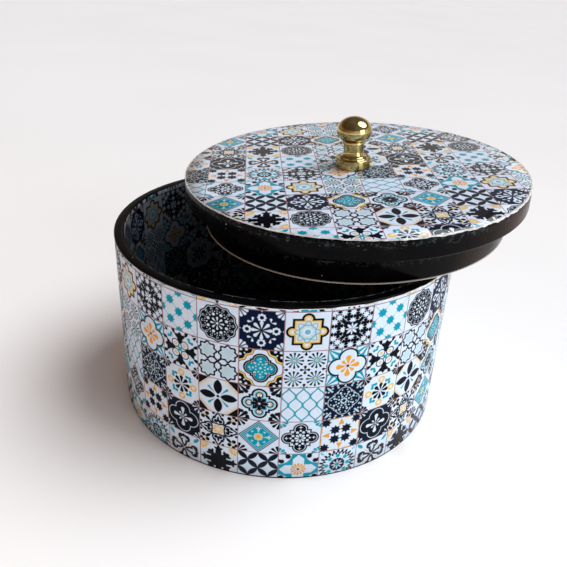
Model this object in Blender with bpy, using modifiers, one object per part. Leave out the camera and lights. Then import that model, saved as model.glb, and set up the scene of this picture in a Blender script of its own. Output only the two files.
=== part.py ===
"""A round lacquered board box with a printed mosaic skin, and the lid that sits askew on it.

The box is a ring wall round a set-in floor, covered by a printed wrap outside and a printed
liner inside. The lid is a wide flange board glued on a tapered plug board, with a printed disc
on top, a paper disc underneath, and a turned brass knob held by one screw and washer from below.

The origin is the centre of the box's underside, +Z is up and -Y is the front. All in metres.
"""

import math

import bpy
from mathutils import Quaternion, Vector

# Driving dimensions
GAP = 0.0003            # clearance kept between pieces that touch
BOX_RADIUS = 0.090      # outer face of the printed wrap
BOX_HEIGHT = 0.097
MOUTH_RADIUS = 0.085    # inner face of the printed liner
SKIN = 0.0003           # printed paper under its coat
FLOOR_THICKNESS = 0.005
RIM_BAND = 0.0007       # black lip left bare above the wrap
FOOT_BAND = 0.0005      # black lip left bare below it
RIM_ROUND = 0.0004      # edge radius of the rim

LID_RADIUS = 0.0910
FLANGE_HEIGHT = 0.0109  # underside of the flange to the top of the print
PLUG_HEIGHT = 0.0157    # underside of the plug to the underside of the flange
PLUG_BOTTOM_RADIUS = 0.0814
PLUG_TOP_RADIUS = 0.0835
PRINT_THICKNESS = 0.0004
EDGE_BEVEL = 0.0026     # height of the eased strip under the lid's printed edge
EDGE_INSET = 0.0003     # how far that strip leans in

LID_OFFSET = Vector((0.0369, 0.0156))   # where the lid's underside lies from the box's axis
LID_LEAN = math.radians(3.3)            # its far side is the raised one

KNOB_OFFSET = (-0.0007, 0.0018)         # the knob's hole was drilled a little off the lid's centre
KNOB_BASE_RADIUS = 0.0094
KNOB_BASE_HEIGHT = 0.0049
KNOB_BASE_ROUND = 0.0005
KNOB_SKIRT_RADIUS = 0.0071              # foot of the flare, standing on the base
KNOB_NECK_RADIUS = 0.0053
KNOB_NECK_HEIGHT = 0.0094               # where the neck starts to flare
KNOB_COLLAR_RADIUS = 0.0058
KNOB_COLLAR_HEIGHT = 0.0013
BALL_RADIUS = 0.00928
BALL_HALF_HEIGHT = 0.0072
BALL_CENTRE = 0.0193

SCREW_RADIUS = 0.0020   # M4
HOLE_RADIUS = SCREW_RADIUS + GAP
THREAD_DEPTH = 0.0100   # how far the screw reaches up into the knob
SCREW_HEAD_RADIUS = 0.0040
SCREW_HEAD_HEIGHT = 0.0026
RECESS_WIDTH = 0.0009
RECESS_LENGTH = 0.0044
RECESS_DEPTH = 0.0013
WASHER_RADIUS = 0.0065
WASHER_THICKNESS = 0.0010

BIG_STEPS = 96          # facets round the box and the lid
KNOB_STEPS = 48
SMALL_STEPS = 24

# Radii and heights worked out from them
WRAP_INNER = BOX_RADIUS - SKIN
WALL_RELIEF = WRAP_INNER - GAP
WALL_LIP = BOX_RADIUS - SKIN / 2
LINER_OUTER = MOUTH_RADIUS + SKIN
WALL_INNER = LINER_OUTER + GAP
FLOOR_RADIUS = WALL_INNER - GAP
LINER_FOOT = FLOOR_THICKNESS + GAP
WRAP_FOOT = FOOT_BAND + GAP
WRAP_TOP = BOX_HEIGHT - RIM_BAND - GAP

# Heights above the lid's own underside
PLUG_BASE = SKIN + GAP
PLUG_TOP = PLUG_HEIGHT - GAP
PRINT_TOP = PLUG_HEIGHT + FLANGE_HEIGHT
PRINT_BASE = PRINT_TOP - PRINT_THICKNESS
FLANGE_TOP = PRINT_BASE - GAP
KNOB_FOOT = PRINT_TOP + GAP
WASHER_TOP = -GAP
HEAD_TOP = WASHER_TOP - WASHER_THICKNESS - GAP
SCREW_TIP = KNOB_FOOT + THREAD_DEPTH

# name: colour, roughness, metallic
FINISHES = {
    "black_lacquer": ((0.012, 0.012, 0.014), 0.28, 0.0),
    "bare_board": ((0.020, 0.018, 0.018), 0.60, 0.0),
    "printed_skin": ((0.42, 0.52, 0.60), 0.22, 0.0),
    "liner_paper": ((0.30, 0.36, 0.42), 0.45, 0.0),
    "white_paper": ((0.72, 0.69, 0.66), 0.60, 0.0),
    "polished_brass": ((0.78, 0.60, 0.28), 0.16, 1.0),
    "zinc_steel": ((0.62, 0.62, 0.60), 0.30, 1.0),
}


def clear_scene():
    for obj in list(bpy.data.objects):
        bpy.data.objects.remove(obj, do_unlink=True)


def new_collection(name):
    collection = bpy.data.collections.new(name)
    bpy.context.scene.collection.children.link(collection)
    return collection


def finish(name):
    """The Principled material of one finish, made once."""
    material = bpy.data.materials.get(name)
    if material:
        return material
    colour, roughness, metallic = FINISHES[name]
    material = bpy.data.materials.new(name)
    material.use_nodes = True
    shader = material.node_tree.nodes["Principled BSDF"]
    shader.inputs["Base Color"].default_value = (*colour, 1.0)
    shader.inputs["Roughness"].default_value = roughness
    shader.inputs["Metallic"].default_value = metallic
    return material


def arc(centre, radii, start, end, steps):
    """Points along an elliptic arc in the profile plane; angles in degrees from +X towards +Z."""
    points = []
    for i in range(steps + 1):
        angle = math.radians(start + (end - start) * i / steps)
        points.append((centre[0] + radii[0] * math.cos(angle), centre[1] + radii[1] * math.sin(angle)))
    return points


def turned(name, profile, steps, finish_name, collection, parent=None, closed=True):
    """A body of revolution about its own Z axis.

    The profile runs down the outer side. A closed one makes a ring, and an open one starts and
    ends on the axis.
    """
    mesh = bpy.data.meshes.new(name)
    edges = [(i, i + 1) for i in range(len(profile) - 1)]
    if closed:
        edges.append((len(profile) - 1, 0))
    mesh.from_pydata([(x, 0.0, z) for x, z in profile], edges, [])
    obj = bpy.data.objects.new(name, mesh)
    collection.objects.link(obj)
    obj.parent = parent
    mesh.materials.append(finish(finish_name))
    screw = obj.modifiers.new("Turn", "SCREW")
    screw.axis = "Z"
    screw.angle = math.tau
    screw.steps = steps
    screw.render_steps = steps
    screw.use_merge_vertices = True
    screw.merge_threshold = 0.00001
    screw.use_smooth_shade = True
    return obj


def box_cutter(name, size, location, collection, parent=None):
    """A plain block used only for cutting."""
    bpy.ops.mesh.primitive_cube_add(size=1.0)
    cutter = bpy.context.object
    cutter.name = name
    for holder in list(cutter.users_collection):
        holder.objects.unlink(cutter)
    collection.objects.link(cutter)
    cutter.data.transform(((size[0], 0, 0, 0), (0, size[1], 0, 0), (0, 0, size[2], 0), (0, 0, 0, 1)))
    cutter.parent = parent
    cutter.location = location
    cutter.hide_render = True
    cutter.display_type = "WIRE"
    return cutter


def cut(obj, cutter):
    boolean = obj.modifiers.new("Cut", "BOOLEAN")
    boolean.operation = "DIFFERENCE"
    boolean.solver = "EXACT"
    boolean.object = cutter


def make_box(parts, cutters):
    """The ring wall, its floor and the three printed skins."""
    rim_edge = arc((WALL_LIP - RIM_ROUND, BOX_HEIGHT - RIM_ROUND), (RIM_ROUND, RIM_ROUND), 90, 0, 3)
    mouth_edge = arc((WALL_INNER + RIM_ROUND, BOX_HEIGHT - RIM_ROUND), (RIM_ROUND, RIM_ROUND), 180, 90, 3)
    wall = rim_edge + [
        (WALL_LIP, BOX_HEIGHT - RIM_BAND),
        (WALL_RELIEF, BOX_HEIGHT - RIM_BAND),
        (WALL_RELIEF, FOOT_BAND),
        (WALL_LIP, FOOT_BAND),
        (WALL_LIP, 0.0),
        (WALL_INNER, 0.0),
    ] + mouth_edge
    turned("box_wall", wall, BIG_STEPS, "black_lacquer", parts)

    floor = [(0.0, FLOOR_THICKNESS), (FLOOR_RADIUS, FLOOR_THICKNESS), (FLOOR_RADIUS, 0.0), (0.0, 0.0)]
    turned("box_floor", floor, BIG_STEPS, "bare_board", parts, closed=False)

    wrap = turned("outer_print_wrap", tube(BOX_RADIUS, WRAP_INNER, WRAP_TOP, WRAP_FOOT),
                  BIG_STEPS, "printed_skin", parts)
    liner = turned("inner_print_liner", tube(LINER_OUTER, MOUTH_RADIUS, BOX_HEIGHT - GAP, LINER_FOOT),
                   BIG_STEPS, "liner_paper", parts)
    seam = box_cutter("seam_cutter", (GAP, 0.020, BOX_HEIGHT * 1.2),
                      (0.0, BOX_RADIUS, BOX_HEIGHT / 2), cutters)
    for skin in (wrap, liner):
        cut(skin, seam)

    paper_top = LINER_FOOT + SKIN
    paper_radius = MOUTH_RADIUS - GAP
    paper = [(0.0, paper_top), (paper_radius, paper_top), (paper_radius, LINER_FOOT), (0.0, LINER_FOOT)]
    turned("floor_liner", paper, BIG_STEPS, "liner_paper", parts, closed=False)


def tube(outer, inner, top, foot):
    """The closed profile of a plain ring."""
    return [(outer, top), (outer, foot), (inner, foot), (inner, top)]


def on_axis(profile):
    """A profile closed off at the axis by a flat top and a flat underside."""
    return [(0.0, profile[0][1])] + profile + [(0.0, profile[-1][1])]


def resting_height(offset, lean):
    """Height of the lid's underside, at its centre, when its edge bears on the rim at two points.

    The two points are where the plug's lower edge crosses the mouth. They lie on one line across
    the lean, so the lid's far side is the raised one and its near side dips into the mouth.
    """
    distance = offset.length
    along = (distance**2 + WALL_INNER**2 - PLUG_BOTTOM_RADIUS**2) / (2 * distance)
    rise = (along - distance) * math.tan(lean)
    return BOX_HEIGHT + GAP - rise


def lid_seat(parts):
    """The empty that carries the lid's pieces. Its Z axis is the lid's own axis."""
    seat = bpy.data.objects.new("lid_seat", None)
    parts.objects.link(seat)
    seat.location = (*LID_OFFSET, resting_height(LID_OFFSET, LID_LEAN))
    towards = LID_OFFSET.normalized()
    seat.rotation_mode = "QUATERNION"
    seat.rotation_quaternion = Quaternion((towards.y, -towards.x, 0.0), LID_LEAN)
    return seat


def make_lid_boards(parts, cutters, seat):
    """The glued flange and plug, with their printed and plain papers."""
    top_edge = LID_RADIUS - EDGE_INSET
    flange = [
        (top_edge, FLANGE_TOP),
        (LID_RADIUS, FLANGE_TOP - EDGE_BEVEL),
        (LID_RADIUS, PLUG_HEIGHT + RIM_ROUND),
        (LID_RADIUS - RIM_ROUND, PLUG_HEIGHT),
    ]
    plug = [
        (PLUG_TOP_RADIUS, PLUG_TOP),
        (PLUG_BOTTOM_RADIUS, PLUG_BASE + RIM_ROUND),
        (PLUG_BOTTOM_RADIUS - RIM_ROUND, PLUG_BASE),
    ]
    print_disc = [(top_edge, PRINT_TOP), (top_edge, PRINT_BASE)]
    underside = [(PLUG_BOTTOM_RADIUS, SKIN), (PLUG_BOTTOM_RADIUS, 0.0)]
    hole = [(HOLE_RADIUS, PRINT_TOP + 0.005), (HOLE_RADIUS, -0.005)]
    drill = turned("hole_cutter", on_axis(hole), SMALL_STEPS, "bare_board", cutters, seat, closed=False)
    drill.location = (*KNOB_OFFSET, 0.0)
    drill.hide_render = True
    for name, profile, finish_name in (
        ("lid_flange_board", flange, "black_lacquer"),
        ("lid_plug_board", plug, "black_lacquer"),
        ("lid_print_disc", print_disc, "printed_skin"),
        ("lid_underside_liner", underside, "white_paper"),
    ):
        cut(turned(name, on_axis(profile), BIG_STEPS, finish_name, parts, seat, closed=False), drill)


def knob_profile():
    """From the top of the ball down to the foot, and up the blind screw hole."""
    collar_angle = math.degrees(math.acos(KNOB_COLLAR_RADIUS / BALL_RADIUS))
    ball = arc((0.0, BALL_CENTRE), (BALL_RADIUS, BALL_HALF_HEIGHT), 90, -collar_angle, 12)
    ball[0] = (0.0, BALL_CENTRE + BALL_HALF_HEIGHT)
    collar_foot = ball[-1][1] - KNOB_COLLAR_HEIGHT
    skirt_top = KNOB_BASE_HEIGHT + 0.0006
    flare_size = (KNOB_SKIRT_RADIUS - KNOB_NECK_RADIUS, KNOB_NECK_HEIGHT - skirt_top)
    flare = arc((KNOB_SKIRT_RADIUS, KNOB_NECK_HEIGHT), flare_size, 180, 270, 6)
    shoulder = arc((KNOB_BASE_RADIUS - KNOB_BASE_ROUND, KNOB_BASE_HEIGHT - KNOB_BASE_ROUND),
                   (KNOB_BASE_ROUND, KNOB_BASE_ROUND), 90, 0, 3)
    hole_top = THREAD_DEPTH + 2 * GAP
    return ball + [
        (KNOB_COLLAR_RADIUS, collar_foot),
        (KNOB_NECK_RADIUS, collar_foot - 0.0003),
    ] + flare + [
        (KNOB_SKIRT_RADIUS, KNOB_BASE_HEIGHT),
    ] + shoulder + [
        (KNOB_BASE_RADIUS, GAP),
        (KNOB_BASE_RADIUS - GAP, 0.0),
        (HOLE_RADIUS, 0.0),
        (HOLE_RADIUS, hole_top),
        (0.0, hole_top + HOLE_RADIUS / 2),
    ]


def make_knob(parts, cutters, seat):
    """The brass knob, and the screw and washer that hold it from below."""
    knob = turned("brass_knob", knob_profile(), KNOB_STEPS, "polished_brass", parts, seat, closed=False)
    knob.location = (*KNOB_OFFSET, KNOB_FOOT)

    head_foot = HEAD_TOP - SCREW_HEAD_HEIGHT
    head = arc((SCREW_HEAD_RADIUS - 0.0012, head_foot + 0.0012), (0.0012, 0.0012), 0, -90, 4)
    screw = [
        (0.0, SCREW_TIP),
        (SCREW_RADIUS - 0.0005, SCREW_TIP),
        (SCREW_RADIUS, SCREW_TIP - 0.0007),
        (SCREW_RADIUS, HEAD_TOP),
        (SCREW_HEAD_RADIUS, HEAD_TOP),
    ] + head + [(0.0, head_foot)]
    bolt = turned("knob_screw", screw, SMALL_STEPS, "zinc_steel", parts, seat, closed=False)
    bolt.location = (*KNOB_OFFSET, 0.0)
    for i, size in enumerate(((RECESS_LENGTH, RECESS_WIDTH), (RECESS_WIDTH, RECESS_LENGTH))):
        cut(bolt, box_cutter(f"recess_cutter_{i + 1}", (*size, 2 * RECESS_DEPTH),
                             (*KNOB_OFFSET, head_foot), cutters, seat))

    washer = tube(WASHER_RADIUS, HOLE_RADIUS, WASHER_TOP, WASHER_TOP - WASHER_THICKNESS)
    ring = turned("knob_washer", washer, SMALL_STEPS, "zinc_steel", parts, seat)
    ring.location = (*KNOB_OFFSET, 0.0)


def main():
    clear_scene()
    parts = new_collection("mosaic_spice_box")
    cutters = new_collection("cutters")
    make_box(parts, cutters)
    seat = lid_seat(parts)
    make_lid_boards(parts, cutters, seat)
    make_knob(parts, cutters, seat)


main()
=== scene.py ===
"""Looks for the mosaic-printed spice box: its printed skins, lacquer, brass, wear and studio.

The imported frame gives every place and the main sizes. The lid's own axes are read from its printed disc.
"""

import math
import random

import bmesh
import bpy
from mathutils import Matrix, Vector


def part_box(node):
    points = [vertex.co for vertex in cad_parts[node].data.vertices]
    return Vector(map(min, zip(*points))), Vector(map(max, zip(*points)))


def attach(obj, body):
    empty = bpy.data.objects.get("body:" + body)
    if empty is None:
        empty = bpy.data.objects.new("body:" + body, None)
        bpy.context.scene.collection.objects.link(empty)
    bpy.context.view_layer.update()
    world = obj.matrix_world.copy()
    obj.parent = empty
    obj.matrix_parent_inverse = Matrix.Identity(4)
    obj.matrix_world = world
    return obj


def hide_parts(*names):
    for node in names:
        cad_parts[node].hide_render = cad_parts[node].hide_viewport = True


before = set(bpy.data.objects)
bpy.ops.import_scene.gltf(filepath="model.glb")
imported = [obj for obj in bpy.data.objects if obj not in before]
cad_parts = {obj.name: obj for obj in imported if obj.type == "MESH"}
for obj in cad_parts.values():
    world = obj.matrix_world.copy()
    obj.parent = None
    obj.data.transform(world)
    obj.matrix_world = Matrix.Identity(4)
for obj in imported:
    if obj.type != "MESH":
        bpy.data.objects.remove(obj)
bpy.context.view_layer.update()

MM = 0.001
TILE = 19.65 * MM        # side of one printed tile
TILE_UV = "tile_map"     # place on a tile, 0 to 1 each way
WEAR_UV = "wear_map"     # turns round the axis, and height as a share of the piece
INK_EDGE = 0.03          # softness of a printed edge, in half tiles
DARK_SPREAD = 0.018      # how far a dark ink runs past its drawn edge, in half tiles

# Sizes of the box, from the frame
WRAP_LOW, WRAP_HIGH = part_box("outer_print_wrap")
WALL_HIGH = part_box("box_wall")[1]
LINER_LOW, LINER_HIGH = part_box("inner_print_liner")
FLOOR_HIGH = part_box("floor_liner")[1]
BOX_RADIUS = WRAP_HIGH.x
RIM_TOP = WALL_HIGH.z
LINER_THICKNESS = 0.3 * MM
MOUTH_RADIUS = LINER_HIGH.x - LINER_THICKNESS


def srgb(red, green, blue):
    """A linear colour from the 0 to 255 values it shows as."""
    def linear(value):
        value /= 255
        return value / 12.92 if value <= 0.04045 else ((value + 0.055) / 1.055) ** 2.4
    return linear(red), linear(green), linear(blue), 1.0


PAPER = srgb(210, 225, 243)
MIST = srgb(184, 210, 222)
FROST = srgb(198, 216, 236)
STONE = srgb(170, 182, 200)
INK = srgb(3, 7, 18)
NAVY = srgb(3, 17, 48)
SLATE = srgb(6, 20, 40)
TEAL = srgb(2, 150, 174)
AQUA = srgb(80, 192, 214)
GOLD = srgb(224, 188, 106)
ORANGE = srgb(224, 158, 58)
GROUT = srgb(146, 104, 108)


# -------------------------------- shader nodes

def plug_in(value, socket):
    """Links another node's output to a socket, or sets a plain value on it."""
    source = value.socket if isinstance(value, Num) else value
    if isinstance(source, bpy.types.NodeSocket):
        socket.id_data.links.new(source, socket)
    else:
        socket.default_value = source


def set_inputs(node, values):
    """Plugs values into a node's inputs, given by name or number."""
    for key, value in values.items():
        plug_in(value, node.inputs[key])


def add_node(tree, kind, inputs, **settings):
    node = tree.nodes.new("ShaderNode" + kind)
    for name, value in settings.items():
        setattr(node, name, value)
    set_inputs(node, inputs)
    return node


def mapped(tree, layer):
    """The two numbers of a UV layer."""
    place = add_node(tree, "UVMap", {}, uv_map=layer)
    return add_node(tree, "SeparateXYZ", {0: place.outputs[0]}).outputs[:2]


def mixed(tree, factor, first, second, blend="MIX"):
    """Two colours mixed by a factor."""
    inputs = {"Factor": factor, 6: first, 7: second}
    return add_node(tree, "Mix", inputs, data_type="RGBA", blend_type=blend).outputs[2]


class Num:
    """A number that shader nodes work out, so that a formula can be written as one."""

    tree = None

    def __init__(self, socket):
        self.socket = socket

    def __add__(self, other):
        return math_node("ADD", self, other)

    def __sub__(self, other):
        return math_node("SUBTRACT", self, other)

    def __rsub__(self, other):
        return math_node("SUBTRACT", other, self)

    def __mul__(self, other):
        return math_node("MULTIPLY", self, other)

    def __abs__(self):
        return math_node("ABSOLUTE", self)


def math_node(operation, *values, clamp=False):
    node = add_node(Num.tree, "Math", dict(enumerate(values)), operation=operation, use_clamp=clamp)
    return Num(node.outputs[0])


def lower(a, b):
    return math_node("MINIMUM", a, b)


def higher(a, b):
    return math_node("MAXIMUM", a, b)


def cosine(a):
    return math_node("COSINE", a)


def sine(a):
    return math_node("SINE", a)


def zigzag(a, reach):
    """Folds a number back and forth between 0 and reach."""
    return math_node("PINGPONG", a, reach)


def span(x, y):
    """The length of (x, y)."""
    pair = add_node(Num.tree, "CombineXYZ", {0: x, 1: y})
    length = add_node(Num.tree, "VectorMath", {0: pair.outputs[0]}, operation="LENGTH")
    return Num(length.outputs["Value"])


class Point:
    """A place on a tile. Moving, turning and folding the place repeats the shape drawn at it."""

    def __init__(self, x, y):
        self.x = x
        self.y = y
        self.known = {}

    def worked_out(self, name, make):
        """What make gives, kept under a name so that its nodes are made once."""
        if name not in self.known:
            self.known[name] = make()
        return self.known[name]

    @property
    def r(self):
        return self.worked_out("r", lambda: span(self.x, self.y))

    @property
    def angle(self):
        return self.worked_out("angle", lambda: math_node("ARCTAN2", self.y, self.x))

    @property
    def quarter(self):
        """Folded on both axes, so both numbers are positive."""
        return self.worked_out("quarter", lambda: Point(abs(self.x), abs(self.y)))

    def moved(self, x, y=0.0):
        """A shape drawn here stands at (x, y)."""
        return Point(self.x - x, self.y - y if y else self.y)

    def turned(self, degrees):
        """A shape drawn here is turned by that much."""
        c, s = math.cos(math.radians(degrees)), math.sin(math.radians(degrees))
        return Point(self.x * c + self.y * s, self.y * c - self.x * s)

    def spun(self, count, degrees=0.0):
        """A shape drawn here, symmetric about its x axis, is repeated count times round the centre."""
        def make():
            angle = self.angle - math.radians(degrees) if degrees else self.angle
            folded = zigzag(angle, math.pi / count)
            return Point(self.r * cosine(folded), self.r * sine(folded))
        return self.worked_out(("spun", count, degrees), make)


# Each shape gives the distance from its outline, below zero on the inside

def disc(p, radius):
    return p.r - radius


def block(p, half_x, half_y):
    return higher(abs(p.x) - half_x, abs(p.y) - half_y)


def leaf(p, half_length, half_width):
    """A leaf along x, pointed at both ends."""
    radius = (half_length**2 + half_width**2) / (2 * half_width)
    return span(p.x, abs(p.y) + (radius - half_width)) - radius


def drop(p, start, end, half_width):
    """A petal along x, from its point at start to its round end."""
    round_x = end - half_width
    slope = half_width / (round_x - start)
    taper = higher(abs(p.y) - (p.x - start) * slope, p.x - round_x)
    return lower(taper, disc(p.moved(round_x), half_width))


def star(p, count, outer, inner):
    """A star with count points, the first one on x."""
    s = p.spun(count)
    half = math.pi / count
    along = inner * math.cos(half) - outer
    across = inner * math.sin(half)
    length = math.hypot(along, across)
    return (s.x - outer) * (across / length) - s.y * (along / length)


def outline(distance, half_width):
    return abs(distance) - half_width


class Tile:
    """One printed tile: x and y run from -1 to 1, and each paint lies over the ones before."""

    def __init__(self, tree, ground):
        Num.tree = tree
        self.tree = tree
        self.colour = ground
        across, up = mapped(tree, TILE_UV)
        self.at = Point(Num(across) * 2 - 1, Num(up) * 2 - 1)

    @property
    def corner(self):
        """A place measured from the nearest corner, with x towards the tile's centre."""
        return self.at.worked_out("corner", lambda: self.at.quarter.moved(1.0, 1.0).turned(225.0))

    def paint(self, colour, distance, edge=INK_EDGE):
        """Colours the places whose distance from an outline is below zero."""
        spread = DARK_SPREAD / edge if colour in (INK, SLATE) else 0.0
        mask = math_node("MULTIPLY_ADD", distance, -1.0 / edge, 0.5 + spread, clamp=True)
        self.colour = mixed(self.tree, mask, self.colour, colour)

    def dots(self, colour, count, reach, radius, degrees=0.0):
        """A ring of dots, at that reach from the centre."""
        self.paint(colour, disc(self.at.spun(count, degrees).moved(reach), radius))

    def leaves(self, colour, count, reach, half_length, half_width, degrees=0.0):
        """A ring of leaves that point outwards."""
        self.paint(colour, leaf(self.at.spun(count, degrees).moved(reach), half_length, half_width))

    def petals(self, colour, count, start, end, half_width, degrees=0.0):
        """A ring of petals."""
        self.paint(colour, drop(self.at.spun(count, degrees), start, end, half_width))

    def corner_spray(self, colour, length, half_width, spread):
        """Three petals out of each corner towards the centre."""
        for degrees in (0.0, spread, -spread):
            self.paint(colour, drop(self.corner.turned(degrees), 0.1, length, half_width))


def clover(p, reach, radius):
    """Four round lobes, their centres at that reach."""
    return disc(p.spun(4).moved(reach), radius)


def quatrefoil(p, reach, radius, half_block):
    """Four round lobes with square shoulders between them."""
    q = p.quarter
    return lower(clover(p, reach, radius), block(q, half_block, half_block))


# -------------------------------- the tile motifs

# Column by column, as in COLUMNS. t is the tile, p a place on it from its middle, q one folded on both axes.

def medallion(t):
    p = t.at
    edge = p.r - cosine(p.angle * 12) * 0.032 - 0.92
    t.paint(INK, edge)
    t.paint(PAPER, edge + 0.05)
    t.paint(INK, edge + 0.095)
    t.petals(PAPER, 16, 0.56, 0.79, 0.052)
    t.leaves(INK, 16, 0.7, 0.055, 0.016)
    t.dots(PAPER, 8, 0.47, 0.07, 22.5)
    t.dots(PAPER, 8, 0.5, 0.034)
    t.dots(PAPER, 16, 0.6, 0.024, 11.25)
    t.petals(PAPER, 8, 0.1, 0.33, 0.05)
    t.paint(PAPER, disc(p, 0.06))


def four_octagons(t):
    q = t.at.quarter.moved(0.5, 0.5)
    edge = q.r - cosine(q.angle * 8) * 0.045 - 0.44
    t.paint(INK, block(t.at.spun(4, 45).moved(0.1), 0.11, 0.034))
    t.paint(INK, edge)
    t.paint(FROST, edge + 0.085)
    t.paint(MIST, edge + 0.17, edge=0.16)


def four_leaves(t):
    q = t.at.quarter
    total = q.x + q.y
    t.paint(INK, 1.47 - total)
    t.paint(GOLD, outline(total - 1.38, 0.036))
    t.paint(GOLD, outline(total - 1.25, 0.016))
    t.leaves(INK, 4, 0.54, 0.4, 0.2)
    t.petals(TEAL, 4, 0.18, 0.72, 0.062, 45)
    t.paint(INK, disc(t.at, 0.06))


def damask(t):
    arm = t.at.spun(4)
    heart = lower(disc(arm.moved(0.5, 0.125), 0.175), leaf(arm.moved(0.62), 0.35, 0.17))
    t.paint(SLATE, outline(heart, 0.028))
    t.paint(INK, disc(arm.moved(0.49, 0.12), 0.085))
    t.leaves(INK, 4, 0.62, 0.15, 0.045)
    t.petals(GOLD, 8, 0.04, 0.29, 0.075)
    t.dots(PAPER, 8, 0.13, 0.022, 22.5)
    diagonal = t.at.spun(4, 45)
    t.leaves(INK, 4, 0.78, 0.18, 0.07, 45)
    t.paint(INK, disc(diagonal.moved(0.98, 0.16), 0.095))
    t.dots(GOLD, 4, 1.02, 0.07, 45)
    t.paint(INK, disc(diagonal.moved(1.22, 0.09), 0.08))
    t.paint(INK, disc(diagonal.moved(0.64, 0.33), 0.055))
    t.paint(INK, disc(arm.moved(0.93, 0.24), 0.06))
    t.leaves(SLATE, 4, 0.5, 0.12, 0.04, 45)


def snowflake(t):
    q = t.at.quarter
    corner = q.moved(0.8, 0.8)
    t.paint(GOLD, lower(block(corner, 0.19, 0.13), block(corner, 0.13, 0.19)))
    t.paint(GOLD, disc(q.moved(0.86, 0.6), 0.085))
    t.paint(GOLD, disc(q.moved(0.6, 0.86), 0.085))
    t.paint(PAPER, outline(disc(q.moved(0.83, 0.83), 0.085), 0.018))
    arm = t.at.spun(4)
    t.leaves(INK, 4, 0.74, 0.24, 0.085)
    t.paint(INK, leaf(arm.moved(0.74, 0.09).turned(62), 0.15, 0.055))
    t.leaves(INK, 4, 0.52, 0.3, 0.15)
    diagonal = t.at.spun(4, 45)
    t.petals(INK, 4, 0.1, 0.76, 0.1, 45)
    t.paint(INK, leaf(diagonal.moved(0.58, 0.1).turned(58), 0.18, 0.07))
    t.paint(INK, star(t.at, 8, 0.6, 0.43))


def daisies_on_navy(t):
    p = t.at
    t.petals(PAPER, 8, 0.09, 0.47, 0.082)
    daisy = p.spun(4).moved(0.64)
    t.paint(PAPER, disc(daisy.spun(8).moved(0.145), 0.058))
    t.paint(PAPER, disc(daisy, 0.135))
    t.paint(NAVY, disc(daisy, 0.095))
    bend = p.spun(4, 45).moved(0.57)
    t.paint(PAPER, drop(bend.turned(48), 0.02, 0.23, 0.055))
    t.corner_spray(PAPER, 0.43, 0.068, 30.0)
    t.paint(PAPER, block(p.spun(4).moved(0.97), 0.04, 0.02))


def teal_quatrefoil(t):
    q = t.at.quarter
    frame_edge = 1.2 - (q.x + q.y) + cosine((q.x - q.y) * 9.4) * 0.06
    t.paint(INK, frame_edge + 0.13)
    for across in (0.0, 0.2, -0.2):
        t.paint(PAPER, disc(t.corner.moved(0.3 if across else 0.14, across), 0.062))
    t.paint(PAPER, leaf(t.corner.moved(0.42), 0.09, 0.035))
    t.paint(INK, outline(frame_edge + 0.035, 0.085))
    t.paint(GOLD, outline(frame_edge + 0.035, 0.06))
    edge = quatrefoil(t.at, 0.4, 0.255, 0.345)
    t.paint(INK, edge - 0.12)
    t.paint(PAPER, edge - 0.05)
    t.paint(INK, edge - 0.016)
    t.paint(TEAL, edge + 0.016)
    for ring in ((4, 0.5, 0.045), (8, 0.34, 0.046), (8, 0.22, 0.038, 22.5), (4, 0.4, 0.04, 45),
                 (8, 0.46, 0.03, 14)):
        t.dots(MIST, *ring)
    t.paint(MIST, disc(t.at, 0.06))


def flower_quatrefoil(t):
    spray = t.corner
    t.paint(INK, drop(spray, 0.0, 0.62, 0.09))
    for degrees in (38.0, -38.0):
        t.paint(INK, drop(spray.turned(degrees), 0.06, 0.56, 0.08))
    for across in (0.19, -0.19):
        t.paint(INK, disc(spray.moved(0.44, across), 0.08))
    edge = quatrefoil(t.at, 0.485, 0.25, 0.375)
    t.paint(PAPER, edge - 0.16)
    t.paint(INK, edge - 0.115)
    t.paint(PAPER, edge - 0.03)
    t.paint(AQUA, edge + 0.01)
    t.paint(PAPER, edge + 0.06)
    t.paint(SLATE, outline(edge + 0.1, 0.014))
    t.leaves(INK, 8, 0.24, 0.18, 0.072)
    t.dots(GOLD, 4, 0.55, 0.062)
    t.paint(PAPER, disc(t.at, 0.04))


def teal_diamond(t):
    q = t.at.quarter
    total = q.x + q.y
    t.corner_spray(INK, 0.47, 0.06, 33.0)
    t.paint(PAPER, total - 0.99)
    t.paint(SLATE, outline(total - 0.955, 0.017))
    t.paint(TEAL, total - 0.89)
    t.paint(MIST, outline(total - 0.77, 0.013))
    arm = t.at.spun(4)
    t.leaves(MIST, 4, 0.47, 0.2, 0.052)
    t.paint(MIST, leaf(arm.moved(0.5, 0.06).turned(52), 0.1, 0.034))
    t.dots(MIST, 4, 0.4, 0.06, 45)
    t.dots(TEAL, 4, 0.33, 0.06, 45)
    t.dots(MIST, 8, 0.17, 0.07)
    t.dots(GOLD, 8, 0.12, 0.065)
    t.paint(ORANGE, disc(t.at, 0.075))


def leaf_lattice(t):
    p = t.at.turned(45)
    cell = math.sqrt(0.5)
    for along, across in ((p.x, p.y), (p.y, p.x)):
        place = Point(zigzag(along + cell / 2, cell / 2), zigzag(across, cell / 2))
        t.paint(SLATE, leaf(place, cell * 0.48, 0.13))


def star_frame(t):
    q = t.at.quarter
    edge = lower(block(q, 0.66, 0.66), clover(t.at, 0.66, 0.275))
    t.paint(INK, edge)
    t.paint(GOLD, edge + 0.09)
    t.paint(PAPER, edge + 0.17)
    t.paint(GOLD, outline(edge + 0.205, 0.008))
    t.dots(MIST, 8, 0.34, 0.13)
    t.paint(TEAL, outline(leaf(t.at.spun(8).moved(0.31), 0.27, 0.145), 0.017))
    t.paint(TEAL, outline(disc(t.at.spun(8, 22.5).moved(0.22), 0.155), 0.015))
    t.paint(TEAL, outline(disc(t.at, 0.115), 0.013))


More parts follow.
